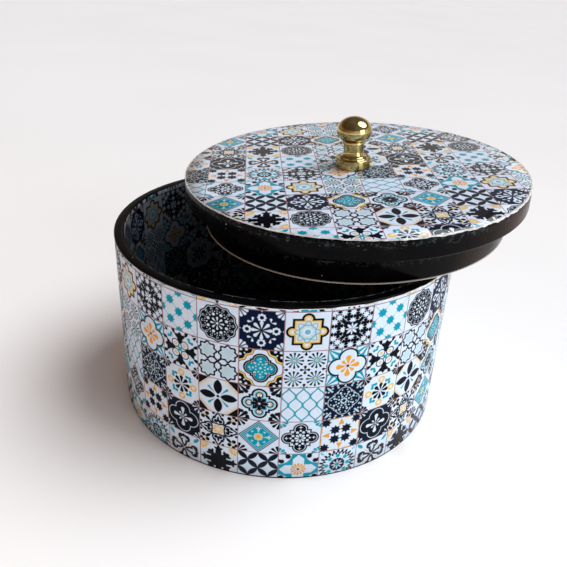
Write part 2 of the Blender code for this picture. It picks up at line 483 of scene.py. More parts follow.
def dandelions(t):
    clock = t.at.quarter.moved(0.5, 0.5)
    spokes = clock.spun(12)
    t.paint(TEAL, block(spokes.moved(0.2), 0.14, 0.026))
    t.paint(INK, drop(spokes, 0.24, 0.42, 0.036))
    t.paint(GOLD, disc(clock, 0.075))
    t.petals(INK, 4, 0.03, 0.22, 0.05)
    t.paint(INK, drop(t.at.spun(4).moved(1.0).turned(180), 0.03, 0.22, 0.05))
    t.paint(INK, drop(t.at.spun(4).moved(1.0).turned(90), 0.04, 0.18, 0.042))


def teal_trellis(t):
    """Lines that swing to either side and meet, three cells across."""
    third = 1 / 3
    beat = t.at.y * math.tau
    swing = cosine(beat) * (third / 2.02) + third / 2
    t.paint(TEAL, abs(zigzag(t.at.x + third, third) - swing) * 0.74 - 0.034)


def black_quatrefoil(t):
    t.corner_spray(TEAL, 0.4, 0.085, 34.0)
    edge = quatrefoil(t.at, 0.55, 0.275, 0.44)
    t.paint(PAPER, edge - 0.13)
    t.paint(INK, edge - 0.075)
    t.paint(PAPER, edge - 0.02)
    t.paint(INK, edge + 0.03)
    t.petals(PAPER, 8, 0.05, 0.27, 0.062)
    t.dots(PAPER, 8, 0.38, 0.07, 22.5)
    t.dots(PAPER, 4, 0.53, 0.06, 45)
    t.dots(PAPER, 4, 0.46, 0.052)
    t.paint(PAPER, star(t.at.spun(4).moved(0.66), 4, 0.095, 0.035))
    t.paint(INK, disc(t.at, 0.04))


def teal_star(t):
    corner = t.corner
    t.paint(PAPER, disc(corner, 0.66))
    for across in (0.22, -0.22):
        t.paint(INK, disc(corner.moved(0.46, across), 0.115))
        t.paint(INK, leaf(corner.moved(0.28, across * 1.4).turned(-across * 60), 0.22, 0.095))
    arm = t.at.spun(4)
    ray = higher(arm.y - 0.28, (arm.x + arm.y) - 0.94)
    t.paint(TEAL, ray - 0.1)
    t.paint(PAPER, ray)
    t.petals(ORANGE, 12, 0.02, 0.39, 0.062)
    t.paint(PAPER, outline(disc(t.at, 0.11), 0.012))
    t.paint(INK, disc(t.at, 0.045))


def star_lattice(t):
    """Rows of small white stars round a white cross of leaves."""
    cell = Point(zigzag(t.at.x, 0.21), zigzag(t.at.y, 0.21))
    t.paint(PAPER, star(cell, 8, 0.185, 0.105))
    t.paint(INK, disc(t.at, 0.34))
    t.leaves(INK, 4, 0.62, 0.52, 0.075, 45)
    t.leaves(PAPER, 4, 0.17, 0.16, 0.06, 45)
    t.leaves(PAPER, 4, 0.2, 0.12, 0.036)
    t.paint(PAPER, star(t.at.quarter.moved(0.63, 0.63), 8, 0.185, 0.105))


def orange_flower(t):
    t.paint(TEAL, disc(t.corner, 0.68))
    t.corner_spray(PAPER, 0.62, 0.075, 30.0)
    edge = clover(t.at, 0.48, 0.405)
    t.paint(INK, edge - 0.07)
    t.paint(PAPER, edge)
    t.petals(ORANGE, 4, 0.05, 0.58, 0.135)
    t.petals(ORANGE, 4, 0.05, 0.43, 0.085, 45)
    t.paint(PAPER, disc(t.at, 0.085))
    t.paint(INK, disc(t.at, 0.052))


def night_mosaic(t):
    t.paint(MIST, outline(quatrefoil(t.at, 0.46, 0.34, 0.48), 0.018))
    for ring in ((8, 0.14, 0.05), (8, 0.27, 0.048, 22.5), (16, 0.4, 0.038), (8, 0.52, 0.06, 22.5),
                 (16, 0.66, 0.036, 11.25), (16, 0.9, 0.052), (24, 1.02, 0.046, 7.5), (16, 1.16, 0.06, 11.25)):
        t.dots(MIST, *ring)
    t.leaves(MIST, 4, 1.08, 0.2, 0.055, 45)
    t.dots(SLATE, 4, 0.66, 0.075)


def stars_and_kites(t):
    q = t.at.quarter
    arm = t.at.spun(4)
    t.paint(ORANGE, higher(arm.y - (0.96 - arm.x) * 0.42, 0.57 - arm.x))
    t.paint(GOLD, block(q.moved(0.36, 1.0), 0.2, 0.075))
    t.paint(GOLD, block(q.moved(1.0, 0.36), 0.075, 0.2))
    t.paint(SLATE, star(q.moved(0.285, 0.285), 8, 0.275, 0.175))
    t.paint(SLATE, star(q.moved(0.78, 0.78), 8, 0.255, 0.16))


def dotted_ring(t):
    t.leaves(INK, 24, 0.87, 0.11, 0.045)
    t.leaves(INK, 24, 0.74, 0.07, 0.038, 7.5)
    t.dots(AQUA, 8, 0.57, 0.125)
    t.dots(TEAL, 8, 0.57, 0.08)
    t.petals(INK, 8, 0.14, 0.4, 0.08, 22.5)
    t.dots(INK, 8, 0.36, 0.04)
    t.paint(TEAL, disc(t.at, 0.115))
    t.leaves(AQUA, 4, 1.18, 0.13, 0.055, 45)


def teal_crosses(t):
    q = t.at.quarter
    for slant in (q.x + q.y, abs(q.x - q.y)):
        t.paint(STONE, outline(zigzag(slant, 0.5), 0.026))
    for place in (t.at, q.moved(0.5, 0.5), q.moved(1.0, 0.0), q.moved(0.0, 1.0)):
        t.paint(TEAL, star(place, 8, 0.255, 0.18))


def leaf_crosses(t):
    arm = t.at.spun(4)
    diagonal = t.at.spun(4, 45)
    t.leaves(INK, 4, 0.6, 0.31, 0.15)
    t.paint(INK, leaf(arm.moved(0.66, 0.09).turned(60), 0.24, 0.095))
    t.dots(SLATE, 4, 0.37, 0.215, 45)
    t.dots(PAPER, 4, 0.37, 0.18, 45)
    t.paint(GOLD, outline(disc(diagonal.moved(0.36), 0.055), 0.034))
    t.leaves(TEAL, 4, 0.09, 0.12, 0.055, 45)
    t.paint(TEAL, drop(diagonal.moved(0.76).turned(55), -0.05, 0.23, 0.08))
    t.dots(TEAL, 4, 0.78, 0.075, 45)
    t.leaves(INK, 8, 1.0, 0.17, 0.075, 22.5)
    t.corner_spray(INK, 0.32, 0.06, 45.0)


def gold_rings(t):
    t.petals(INK, 8, 0.1, 0.47, 0.088)
    t.paint(GOLD, outline(disc(t.at.spun(4).moved(0.69), 0.145), 0.056))
    heart = t.at.spun(4, 45).moved(0.7)
    t.paint(TEAL, drop(heart.turned(130), -0.05, 0.26, 0.088))
    t.paint(TEAL, disc(heart, 0.085))
    t.corner_spray(INK, 0.38, 0.066, 34.0)


def black_clover(t):
    t.corner_spray(PAPER, 0.4, 0.045, 36.0)
    edge = clover(t.at, 0.46, 0.405)
    t.paint(SLATE, edge - 0.1)
    t.paint(PAPER, edge - 0.055)
    t.paint(SLATE, edge)
    t.paint(INK, edge + 0.13, edge=0.2)
    t.petals(PAPER, 4, 0.07, 0.58, 0.105)
    t.petals(PAPER, 4, 0.07, 0.32, 0.05, 45)


def heart_loops(t):
    arm = t.at.spun(4)
    heart = lower(disc(arm.moved(0.62, 0.16), 0.2), leaf(arm.moved(0.46), 0.42, 0.19))
    t.paint(SLATE, heart)
    t.paint(PAPER, heart + 0.11)
    t.paint(INK, disc(arm.moved(0.7, 0.23), 0.105))
    t.paint(GOLD, disc(t.at, 0.06))
    t.paint(TEAL, leaf(t.corner.moved(0.34), 0.24, 0.1))
    t.leaves(GOLD, 4, 0.5, 0.18, 0.03, 45)


# Down each column of the print, top to bottom: the motif and its ground. The columns repeat.
COLUMNS = (
    ((medallion, PAPER), (four_octagons, PAPER), (four_leaves, PAPER), (damask, PAPER), (snowflake, PAPER)),
    ((daisies_on_navy, NAVY), (teal_quatrefoil, PAPER), (flower_quatrefoil, PAPER), (teal_diamond, PAPER),
     (leaf_lattice, PAPER)),
    ((star_frame, PAPER), (dandelions, PAPER), (teal_trellis, PAPER), (black_quatrefoil, PAPER),
     (teal_star, TEAL)),
    ((star_lattice, INK), (orange_flower, PAPER), (night_mosaic, NAVY), (stars_and_kites, PAPER),
     (dotted_ring, PAPER)),
    ((teal_crosses, PAPER), (leaf_crosses, PAPER), (gold_rings, PAPER), (black_clover, SLATE),
     (heart_loops, PAPER)),
)
REPEAT = len(COLUMNS)


# -------------------------------- materials

GROUT_START = 0.978      # from the middle of a tile to its grout line, in half tiles
UNDERCOAT = 0.03         # specular level of a surface that has its gloss from a coat

# Each skin's own print: a factor on the lightness of its inks, which paints light and shade onto copies of
# one print (lighter on the lid as painted light, far darker on the liner as painted shade of the box's
# inside), and the weight and IOR of its coat
SKINS = {"wrap": (0.98, 0.08, 1.3), "lid": (1.1, 0.58, 1.46), "liner": (0.2, 0.15, 1.3)}


def new_material(name):
    """A material with its tree and its Principled shader."""
    material = bpy.data.materials.new(name)
    material.use_nodes = True
    return material, material.node_tree, material.node_tree.nodes["Principled BSDF"]


def noise(tree, scale, detail=2.0, roughness=0.5, stretch=(1.0, 1.0, 1.0)):
    """Cloudy noise fixed to the object, in features per metre."""
    place = add_node(tree, "TexCoord", {})
    mapping = add_node(tree, "Mapping", {0: place.outputs["Object"], "Scale": stretch})
    inputs = {"Vector": mapping.outputs[0], "Scale": scale, "Detail": detail, "Roughness": roughness}
    return add_node(tree, "TexNoise", inputs).outputs["Fac"]


def remapped(socket, low, high, to_low=0.0, to_high=1.0):
    """The range from low to high stretched to run from to_low to to_high, and held at its ends."""
    inputs = {"Value": socket, "From Min": low, "From Max": high, "To Min": to_low, "To Max": to_high}
    return add_node(socket.id_data, "MapRange", inputs).outputs["Result"]


def multiplied(first, second):
    return add_node(first.id_data, "Math", {0: first, 1: second}, operation="MULTIPLY").outputs[0]


def bumped(tree, *heights):
    """Bumps, each (height socket, strength, depth in metres), one on the other."""
    inputs = {}
    for height, strength, depth in heights:
        inputs.update({"Height": height, "Strength": strength, "Distance": depth})
        inputs["Normal"] = add_node(tree, "Bump", inputs).outputs[0]
    return inputs["Normal"]


def tile_material(skin, draw, ground):
    """One printed tile under a glossy coat, its inks scaled by the skin's painted light and shade."""
    painted_brightness, coat, coat_ior = SKINS[skin]
    material, tree, shader = new_material(skin + "_" + draw.__name__)
    tile = Tile(tree, ground)
    draw(tile)
    q = tile.at.quarter
    tile.paint(GROUT, GROUT_START - higher(q.x, q.y))
    # The paper's random mottle, times the skin's painted brightness: painted light on the lid and painted
    # shade on the liner
    mottle_and_painted_brightness = remapped(noise(tree, 260.0, 3.0), 0.3, 0.7, 0.92 * painted_brightness, painted_brightness)
    relief = bumped(tree, (noise(tree, 30.0), 0.06, 0.0006), (noise(tree, 900.0), 0.04, 0.0001))
    set_inputs(shader, {
        "Base Color": mixed(tree, 1.0, tile.colour, mottle_and_painted_brightness, "MULTIPLY"),
        "Roughness": remapped(noise(tree, 90.0), 0.35, 0.65, 0.3, 0.42),
        "Specular IOR Level": UNDERCOAT,
        "Coat Weight": coat,
        "Coat IOR": coat_ior,
        "Coat Roughness": 0.03,
        "Normal": relief,
        "Coat Normal": relief,
    })
    return material


def make_print_materials(skin):
    return [tile_material(skin, draw, ground) for column in COLUMNS for draw, ground in column]


def speckles(tree, cell, radius, share):
    """Small round chips, in that share of the cells: 1 on a chip and 0 elsewhere."""
    place = add_node(tree, "TexCoord", {})
    cells = add_node(tree, "TexVoronoi", {"Vector": place.outputs["Object"], "Scale": 1 / cell})
    draws = add_node(tree, "SeparateColor", {0: cells.outputs["Color"]})
    reach = radius / cell
    near = remapped(cells.outputs["Distance"], reach * 0.8, reach * 1.2, 1.0, 0.0)
    return multiplied(near, remapped(draws.outputs[0], share - 0.01, share, 1.0, 0.0))


def lacquer_tint(tree):
    """Black with brown smears, chips and dust."""
    smears = remapped(noise(tree, 60.0, 3.0), 0.45, 0.7)
    chips = speckles(tree, 5.5 * MM, 0.26 * MM, 0.2)
    dust = speckles(tree, 2.2 * MM, 0.1 * MM, 0.16)
    tint = mixed(tree, smears, srgb(4, 4, 6), srgb(15, 12, 11))
    tint = mixed(tree, chips, tint, srgb(205, 205, 205))
    return mixed(tree, dust, tint, srgb(92, 88, 86))


def scuffs_and_painted_reflection(tree, tint):
    """Scuffs and scratches towards a board's upper edge, and a painted reflection: a brown patch over one
    stretch round the side.
    """
    turn, height = mapped(tree, WEAR_UV)
    high = remapped(height, 0.55, 1.0)
    side = remapped(turn, 0.02, 0.16, 0.35, 1.0)
    scuff = remapped(noise(tree, 420.0, 6.0, 0.75), 0.53, 0.72, 0.0, 0.95)
    scratch = remapped(noise(tree, 900.0, stretch=(0.35, 0.35, 1.6)), 0.66, 0.72, 0.0, 0.7)
    for mark, colour in ((scuff, srgb(92, 112, 118)), (scratch, srgb(150, 152, 150))):
        tint = mixed(tree, multiplied(multiplied(mark, high), side), tint, colour)
    # Painted reflection: a warm brown cloud over this stretch of turns round the lid's boards
    starts = remapped(turn, 0.82, 0.92)
    stops = remapped(turn, 0.94, 0.99, 1.0, 0.0)
    cloud = remapped(noise(tree, 40.0, 3.0), 0.36, 0.6, 0.15, 0.9)
    return mixed(tree, multiplied(cloud, multiplied(starts, stops)), tint, srgb(56, 33, 22))


def make_lacquer(name, scuffs_and_reflection):
    """Black gloss lacquer over board."""
    material, tree, shader = new_material(name)
    tint = lacquer_tint(tree)
    drag = noise(tree, 120.0, 3.0, stretch=(1.0, 1.0, 14.0))
    peel = noise(tree, 320.0)
    set_inputs(shader, {
        "Base Color": scuffs_and_painted_reflection(tree, tint) if scuffs_and_reflection else tint,
        "Roughness": remapped(noise(tree, 70.0, 5.0), 0.35, 0.7, 0.16, 0.36),
        "Specular IOR Level": UNDERCOAT,
        "Coat Weight": 0.12,
        "Coat IOR": 1.3,
        "Coat Roughness": 0.07,
        "Normal": bumped(tree, (drag, 0.08, 0.0004), (peel, 0.1, 0.0002)),
    })
    return material


def make_paper(name, scale, clean, soiled):
    """Uncoated paper, a little soiled."""
    material, tree, shader = new_material(name)
    soil = remapped(noise(tree, scale, 4.0), 0.35, 0.75)
    set_inputs(shader, {
        "Base Color": mixed(tree, soil, clean, soiled),
        "Roughness": 0.7,
        "Normal": bumped(tree, (noise(tree, 1500.0, 3.0), 0.3, 0.0001)),
    })
    return material


def make_brass():
    """Polished turned brass, a little tarnished, with handling haze and fine lathe rings."""
    material, tree, shader = new_material("polished_brass")
    tarnish = remapped(noise(tree, 160.0, 5.0, 0.6), 0.38, 0.7)
    rings = noise(tree, 60.0, stretch=(1.0, 1.0, 90.0))
    marks = noise(tree, 1200.0, 3.0)
    set_inputs(shader, {
        "Base Color": mixed(tree, tarnish, srgb(208, 188, 128), srgb(146, 120, 66)),
        "Roughness": remapped(noise(tree, 420.0, 4.0), 0.35, 0.75, 0.05, 0.17),
        "Metallic": 1.0,
        "Normal": bumped(tree, (rings, 0.05, 0.0001), (marks, 0.04, 0.00005)),
    })
    return material


def make_zinc():
    """Zinc-plated steel."""
    material, tree, shader = new_material("zinc_steel")
    bloom = remapped(noise(tree, 700.0, 4.0), 0.4, 0.7)
    set_inputs(shader, {
        "Base Color": mixed(tree, bloom, srgb(205, 206, 202), srgb(168, 166, 158)),
        "Roughness": remapped(noise(tree, 900.0), 0.3, 0.7, 0.22, 0.4),
        "Metallic": 1.0,
        "Normal": bumped(tree, (noise(tree, 2400.0), 0.08, 0.00005)),
    })
    return material


def make_bare_board():
    """Fine fibreboard stained black."""
    material, tree, shader = new_material("bare_board")
    fibre = remapped(noise(tree, 1400.0, 5.0, 0.7), 0.35, 0.7)
    set_inputs(shader, {
        "Base Color": mixed(tree, fibre, srgb(26, 22, 22), srgb(52, 44, 40)),
        "Roughness": 0.75,
        "Normal": bumped(tree, (noise(tree, 2000.0, 4.0), 0.3, 0.0002)),
    })
    return material


# -------------------------------- mesh helpers

RING_STEPS = 288         # facets round a board or a printed disc
WORN_STEPS = 720         # and round a ragged worn edge
SAME_PLACE = 1e-7        # metres between points that count as one
SLIVER = 1e-5            # metres: what lies nearer than this counts as touching


def linked(name, data):
    """A new object in the scene."""
    obj = bpy.data.objects.new(name, data)
    bpy.context.scene.collection.objects.link(obj)
    return obj


def finished(name, mesh_builder, materials, body, replaced, smooth=30.0):
    """Turns a bmesh into an object that rides on a body and stands for CAD nodes."""
    mesh = bpy.data.meshes.new(name)
    mesh_builder.to_mesh(mesh)
    mesh_builder.free()
    obj = linked(name, mesh)
    for material in materials:
        mesh.materials.append(material)
    mesh.shade_smooth()
    mesh.set_sharp_from_angle(angle=math.radians(smooth))
    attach(obj, body)
    if replaced:
        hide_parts(*replaced)
    return obj


def thickened(sheet, thickness):
    """Gives a sheet its thickness, behind its printed face."""
    solid = sheet.modifiers.new("Thickness", "SOLIDIFY")
    solid.thickness = thickness
    solid.offset = -1.0
    return solid


def lathe(profile, steps, place=Matrix.Identity(4), closed=True):
    """A turned skin. The profile is (radius, height) points down the outer side, or gives them by angle."""
    shape = profile if callable(profile) else lambda angle: profile
    heights = [z for _, z in shape(0.0)]
    low, high = min(heights), max(heights)
    bm = bmesh.new()
    uv = bm.loops.layers.uv.new(WEAR_UV)
    on_axis = {}
    grid = []
    for i in range(steps):
        angle = math.tau * i / steps
        column = []
        for k, (radius, z) in enumerate(shape(angle)):
            vert = on_axis.get(k)
            if vert is None:
                vert = bm.verts.new(place @ Vector((radius * math.cos(angle), radius * math.sin(angle), z)))
            if radius == 0.0:
                on_axis[k] = vert
            column.append((vert, (z - low) / (high - low)))
        grid.append(column)
    count = len(heights)
    for k in range(count if closed else count - 1):
        for i in range(steps):
            corners = {}
            for turn, point in ((i, k), (i, k + 1), (i + 1, k + 1), (i + 1, k)):
                vert, height = grid[turn % steps][point % count]
                corners.setdefault(vert, (turn / steps, height))
            face = bm.faces.new(list(corners))
            for loop, at in zip(face.loops, corners.values()):
                loop[uv].uv = at
    bmesh.ops.recalc_face_normals(bm, faces=bm.faces)
    return bm


def arc(centre, radii, start, end, steps):
    """Points along an elliptic arc of a profile, in degrees from +X towards +Z."""
    points = []
    for i in range(steps + 1):
        angle = math.radians(start + (end - start) * i / steps)
        points.append((centre[0] + radii[0] * math.cos(angle), centre[1] + radii[1] * math.sin(angle)))
    return points


def wobble(angle, seed, waves, falls):
    """An uneven line round a circle: a sum of waves between about -1 and 1."""
    dice = random.Random(seed)
    total = 0.0
    for i, count in enumerate(waves):
        total += math.sin(count * angle + dice.uniform(0, math.tau)) * falls**i
    return total / sum(falls**i for i in range(len(waves)))


def breaks(low, high, origin, step, pieces):
    """Cuts from low to high at each step from the origin, and evenly between them."""
    cuts = {low, high}
    first = math.floor((low - origin) / step)
    last = math.ceil((high - origin) / step)
    for k in range(first * pieces, last * pieces + 1):
        value = origin + k * step / pieces
        if low + SLIVER < value < high - SLIVER:
            cuts.add(value)
    return sorted(cuts)


# -------------------------------- the printed skins

FIRST_ROW_TOP = RIM_TOP - 2.65 * MM       # the print starts partway down its last row
COLUMN_START = 1.8 * MM                   # arc length from the front to a column edge
WRAP_COLUMN = 2                           # which of the columns begins there on the wrap
LINER_COLUMN = 3                          # and on the liner
ROWS = len(COLUMNS[0])
THIRD = math.tau / 3
FACETS = 5                                # across a tile, round the wall
SHEET_SMOOTH = 60.0                       # degrees
WALL_SHEET, LID_SHEET, FLOOR_SHEET = 0.25 * MM, 0.3 * MM, 0.2 * MM      # thicknesses

# How a disc's tiles lie: degrees of turn, a corner where four meet, and the column and row of the one there
LID_GRID = (4.0, (22.5 * MM, -36.1 * MM), (2, 3))
FLOOR_GRID = (11.0, (4.0 * MM, 3.0 * MM), (0, 0))


def motif_index(column, row):
    return (column % REPEAT) * ROWS + row % ROWS


def printed_wall(name, node, radius, low, high, start, inward, materials):
    """A third of the wall's print, cut along its tile lines so that each face shows one tile.

    It runs from the angle start, counted from the front towards +X. A strip that faces inward has its
    print the other way round, and its cut edges take the last of its materials.
    """
    bm = bmesh.new()
    uv = bm.loops.layers.uv.new(TILE_UV)

    def corner(s, z):
        return bm.verts.new((radius * math.sin(s / radius), -radius * math.cos(s / radius), z))

    arcs = breaks(radius * start, radius * (start + THIRD), COLUMN_START, TILE, FACETS)
    heights = breaks(low, high, FIRST_ROW_TOP, TILE, 1)
    grid = [[corner(s, z) for z in heights] for s in arcs]
    for i, (left, right) in enumerate(zip(arcs, arcs[1:])):
        column = math.floor(((left + right) / 2 - COLUMN_START) / TILE)
        for k, (foot, top) in enumerate(zip(heights, heights[1:])):
            row = math.floor((FIRST_ROW_TOP - (foot + top) / 2) / TILE)
            face = bm.faces.new((grid[i][k], grid[i + 1][k], grid[i + 1][k + 1], grid[i][k + 1]))
            face.material_index = motif_index(LINER_COLUMN - column if inward else WRAP_COLUMN + column, row)
            for loop, (s, z) in zip(face.loops, ((left, foot), (right, foot), (right, top), (left, top))):
                u = (s - COLUMN_START) / TILE - column
                v = 1 - ((FIRST_ROW_TOP - z) / TILE - row)
                loop[uv].uv = (1 - u if inward else u, v)
    if inward:
        bmesh.ops.reverse_faces(bm, faces=bm.faces)
    strip = finished(name, bm, materials, "box", (node,), SHEET_SMOOTH)
    solid = thickened(strip, WALL_SHEET)
    if inward:
        solid.material_offset_rim = len(materials)


def make_wall_prints(materials, liner_materials_painted_dark, edge_paint):
    """The wrap and the liner, each in three strips that meet edge to edge."""
    for side, middle in (("front", 0.0), ("right", THIRD), ("left", -THIRD)):
        printed_wall("wrap_strip_" + side, "outer_print_wrap", BOX_RADIUS,
                     WRAP_LOW.z, WRAP_HIGH.z, middle - THIRD / 2, False, materials)
    for i, letter in enumerate("abc"):
        printed_wall("liner_strip_" + letter, "inner_print_liner", MOUTH_RADIUS,
                     LINER_LOW.z, LINER_HIGH.z, -math.pi + THIRD * i, True, liner_materials_painted_dark + [edge_paint])


def printed_disc(name, body, node, place, radius, thickness, grid, materials):
    """A printed round sheet, cut along its tile lines. place carries its own axes, with z out of the print.

    The print lies on its side: its rows run along x.
    """
    degrees, grid_corner, (first_column, first_row) = grid
    turn = Matrix.Rotation(math.radians(degrees), 4, "Z")
    bm = bmesh.new()
    bmesh.ops.create_circle(bm, cap_ends=True, radius=radius, segments=RING_STEPS)
    back = turn.inverted()
    bmesh.ops.transform(bm, matrix=back, verts=bm.verts)
    corner = back @ Vector((*grid_corner, 0.0))
    reach = 2 * math.ceil(radius / TILE) + 4
    for axis, normal in enumerate((Vector((1, 0, 0)), Vector((0, 1, 0)))):
        for k in range(-reach, reach + 1):
            offset = corner[axis] + k * TILE
            if abs(offset) < radius - SLIVER:
                everything = list(bm.verts) + list(bm.edges) + list(bm.faces)
                bmesh.ops.bisect_plane(bm, geom=everything, dist=SAME_PLACE, plane_co=normal * offset,
                                       plane_no=normal)
    uv = bm.loops.layers.uv.new(TILE_UV)
    for face in bm.faces:
        if face.normal.z < 0:
            face.normal_flip()
        middle = face.calc_center_median()
        i = math.floor((middle.x - corner.x) / TILE)
        j = math.floor((middle.y - corner.y) / TILE)
        face.material_index = motif_index(first_column + j, first_row + i)
        for loop in face.loops:
            across = (loop.vert.co.x - corner.x) / TILE - i
            along = (loop.vert.co.y - corner.y) / TILE - j
            loop[uv].uv = (along, 1 - across)
    bmesh.ops.transform(bm, matrix=place @ turn, verts=bm.verts)
    thickened(finished(name, bm, materials, body, (node,), SHEET_SMOOTH), thickness)


def lid_axes():
    """The lid's own frame, from the centre of its printed disc's top face, and the disc's radius."""
    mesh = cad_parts["lid_print_disc"].data
    top = max(mesh.polygons, key=lambda face: face.normal.z).normal.copy()
    x_axis = (Vector((1, 0, 0)) - top * top.x).normalized()
    y_axis = top.cross(x_axis)
    matrix = Matrix((x_axis, y_axis, top)).transposed().to_4x4()
    reaches = [[v.co.dot(axis) for v in mesh.vertices] for axis in (x_axis, y_axis, top)]
    middle_x, middle_y = ((min(reach) + max(reach)) / 2 for reach in reaches[:2])
    matrix.translation = x_axis * middle_x + y_axis * middle_y + top * max(reaches[2])
    return matrix, (max(reaches[0]) - min(reaches[0])) / 2


# -------------------------------- lacquered boards, edges and brass

BOARD = 4.25 * MM        # thickness of the wall's board at its lips
RIM_ROUND = 0.7 * MM
FOOT_BAND = 0.5 * MM     # height of the lip below the wrap
PAINT_LAP = 0.05 * MM    # how far the rim's paint stands over the print
UNDER = 0.1 * MM         # how far hidden edges lie under the print
RELIEF = 0.5 * MM        # how far the board lies behind the print's face


def paint_edge(angle):
    """The uneven height where the rim's black paint stops."""
    return RIM_TOP - (1.05 + 0.42 * wobble(angle, 11, (5, 13, 31, 67), 0.8)) * MM


def make_rim_wall(lacquer):
    """The ring wall. Its black rim laps unevenly over the wrap's top edge."""
    inner = WALL_HIGH.x - BOARD
    outer = BOX_RADIUS + PAINT_LAP
    behind = BOX_RADIUS - RELIEF
    foot = BOX_RADIUS - UNDER

    def profile(angle):
        lap = paint_edge(angle)
        rim = arc((outer - RIM_ROUND, RIM_TOP - RIM_ROUND), (RIM_ROUND, RIM_ROUND), 90, 0, 5)
        mouth = arc((inner + RIM_ROUND, RIM_TOP - RIM_ROUND), (RIM_ROUND, RIM_ROUND), 180, 90, 5)
        side = [(outer, lap), (behind, lap), (behind, FOOT_BAND), (foot, FOOT_BAND)]
        return rim + side + [(foot, 0.0), (inner, 0.0)] + mouth

    finished("lacquered_wall", lathe(profile, RING_STEPS), [lacquer], "box", ("box_wall",))


def rubbed(angle, towards):
    """How much handling has rubbed an edge: 1 towards that many degrees, and 0 on the far side."""
    return max(0.0, math.cos(angle - math.radians(towards)))


def make_wrap_edge(paper):
    """The wrap's top edge, where the print is rubbed to white paper, more at the front right."""
    face = BOX_RADIUS + 0.03 * MM
    back = BOX_RADIUS - UNDER

    def profile(angle):
        wear = max(0.0, wobble(angle, 21, (7, 19, 43, 89), 0.9))
        low = paint_edge(angle) - (0.12 + 0.9 * wear + 0.42 * rubbed(angle, -38.0)**2) * MM
        high = paint_edge(angle) + UNDER
        return [(face, high), (face, low), (back, low), (back, high)]

    finished("worn_wrap_edge", lathe(profile, WORN_STEPS), [paper], "box", ())


def lid_sizes(place, node):
    """A lid piece's radius at its top, at its widest and below its middle, and the heights of its ends."""
    back = place.inverted()
    points = [back @ v.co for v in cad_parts[node].data.vertices]
    outer = [(math.hypot(p.x, p.y), p.z) for p in points]
    top = max(z for _, z in outer)
    foot = min(z for _, z in outer)
    top_radius = max(r for r, z in outer if z > top - SLIVER)
    low_radius = max(r for r, z in outer if z < (top + foot) / 2)
    return top_radius, max(r for r, _ in outer), low_radius, top, foot


def make_lid_piece(name, profile, place, material, node):
    finished(name, lathe(profile, RING_STEPS, place, closed=False), [material], "lid", (node,))


def make_lid_boards(place, lacquer, paper):
    """The flange and plug boards and the underside paper."""
    soft = 0.5 * MM
    _, radius, _, top, foot = lid_sizes(place, "lid_flange_board")
    bevel = 2.6 * MM
    inset = 0.3 * MM
    turned = 1.0 * MM
    flange = [(0.0, top)] + arc((radius - inset - soft, top - soft), (soft, soft), 90, 10, 4)
    flange += [(radius - 0.05 * MM, top - bevel + 0.5 * MM), (radius, top - bevel - 0.3 * MM)]
    flange += [(radius, foot + 1.2 * MM)]
    flange += arc((radius - turned, foot + turned), (turned, turned), 0, -90, 5) + [(0.0, foot)]
    make_lid_piece("flange_board", flange, place, lacquer, "lid_flange_board")

    top_radius, _, low_radius, top, foot = lid_sizes(place, "lid_plug_board")
    cove = top_radius - 0.35 * MM
    plug = [(0.0, top), (cove, top), (cove, top - 0.5 * MM), (top_radius, top - 1.1 * MM)]
    plug += arc((low_radius - soft, foot + soft), (soft, soft), 0, -90, 4) + [(0.0, foot)]
    make_lid_piece("plug_board", plug, place, lacquer, "lid_plug_board")

    _, radius, _, top, foot = lid_sizes(place, "lid_underside_liner")
    sheet = [(0.0, top), (radius, top), (radius + 0.08 * MM, (top + foot) / 2), (radius, foot), (0.0, foot)]
    make_lid_piece("underside_paper", sheet, place, paper, "lid_underside_liner")


def make_worn_edge(place, radius, paper):
    """The white edge of the lid's print, rubbed wider towards the front right."""
    lift = 0.03 * MM
    tuck = 0.05 * MM

    def profile(angle):
        rub = rubbed(angle, -35.0)**3
        ragged = 1 + wobble(angle, 7, (37, 71, 131), 0.9)
        width = (0.34 + 0.14 * wobble(angle, 5, (9, 23, 41, 83), 0.85) + 0.34 * rub) * MM
        fall = (0.42 + 0.18 * wobble(angle, 6, (11, 29, 53, 97), 0.85) + 0.6 * rub * ragged) * MM
        return [(radius - width, lift), (radius, lift), (radius + 0.1 * MM, -0.1 * MM),
                (radius + 0.16 * MM, -fall), (radius - 0.3 * MM, -fall), (radius - width, -tuck)]

    finished("worn_print_edge", lathe(profile, WORN_STEPS, place), [paper], "lid", ())


def knob_profile(height):
    """The turned knob from its top down: ball, collar, waisted neck, flared skirt and base."""
    ball_radius, ball_half = 9.28 * MM, 7.2 * MM
    collar, neck, skirt, base = 5.8 * MM, 5.3 * MM, 7.1 * MM, 9.4 * MM
    neck_height, skirt_top, base_height = 9.4 * MM, 5.5 * MM, 4.9 * MM
    soft = 0.5 * MM
    end = math.degrees(math.acos(collar / ball_radius))
    ball = arc((0.0, height - ball_half), (ball_radius, ball_half), 90, -end, 28)
    ball[0] = (0.0, height)
    collar_top = ball[-1][1]
    collar_foot = collar_top - 1.3 * MM
    bead = collar + 0.08 * MM
    profile = ball + [(bead, collar_top - 0.25 * MM), (bead, collar_foot + 0.2 * MM),
                      (collar - 0.15 * MM, collar_foot), (neck + 0.1 * MM, collar_foot - 0.15 * MM)]
    profile += arc((skirt, neck_height), (skirt - neck, neck_height - skirt_top), 180, 262, 12)
    profile += [(skirt, skirt_top), (skirt + 0.05 * MM, base_height + 0.15 * MM),
                (skirt + 0.35 * MM, base_height - 0.12 * MM), (skirt + 0.8 * MM, base_height)]
    profile += arc((base - soft, base_height - soft), (soft, soft), 90, 0, 5)
    return profile + [(base, 0.5 * MM), (base - 0.25 * MM, 0.25 * MM), (base - 0.3 * MM, 0.0), (0.0, 0.0)]


